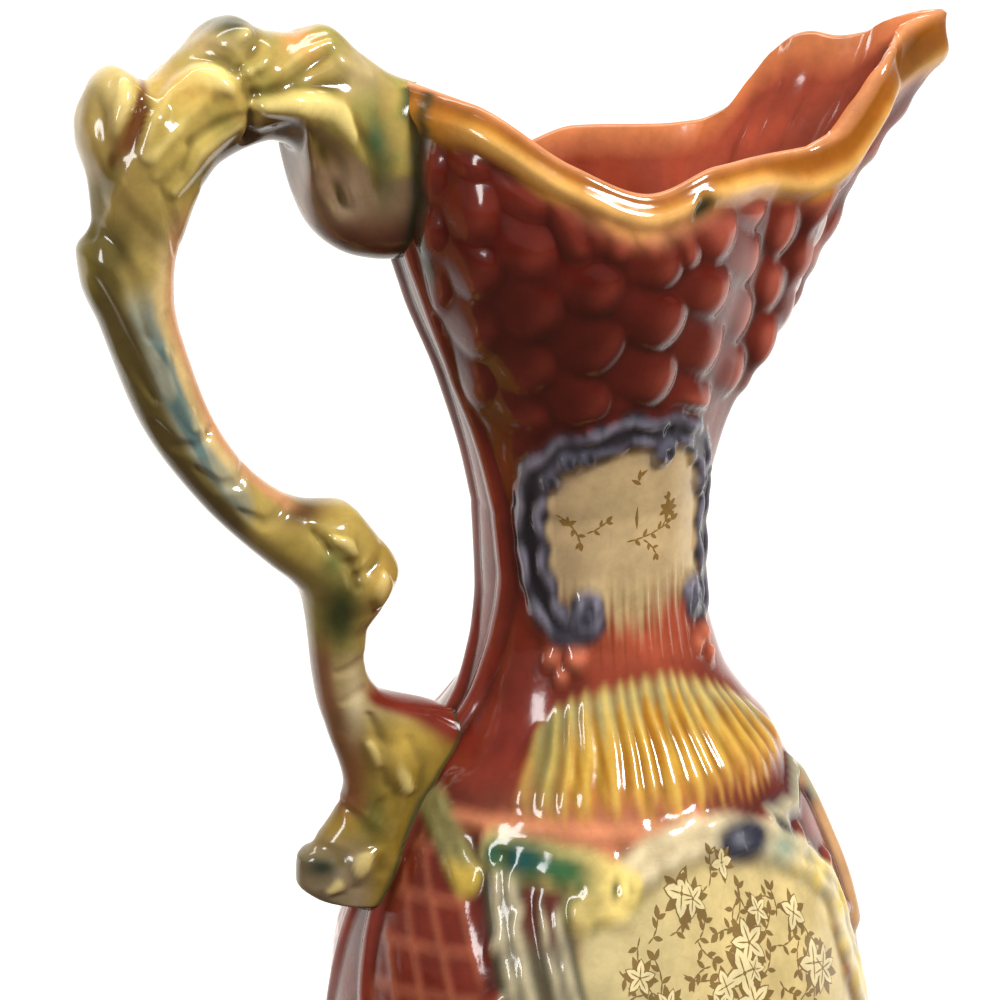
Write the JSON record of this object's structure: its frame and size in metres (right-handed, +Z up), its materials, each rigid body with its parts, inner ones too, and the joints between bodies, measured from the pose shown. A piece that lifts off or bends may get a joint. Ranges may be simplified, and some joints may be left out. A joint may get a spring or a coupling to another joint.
{
  "type": "ewer",
  "caption": "Tall moulded earthenware ewer with a beaked lip, narrow neck, oval belly, spreading foot and a scrolled leaf handle.",
  "frame": {"origin": "centre of the foot's underside, on the axis of the body", "axes": "+Z up, +X towards the spout, -X towards the handle"},
  "size_m": [0.2338, 0.1445, 0.3884],
  "materials": {
    "glaze": "glossy lead glaze, brick red with ochre, cream, green and grey-blue"
  },
  "bodies": {
    "root": {"ewer": "glaze"}
  },
  "joints": []
}
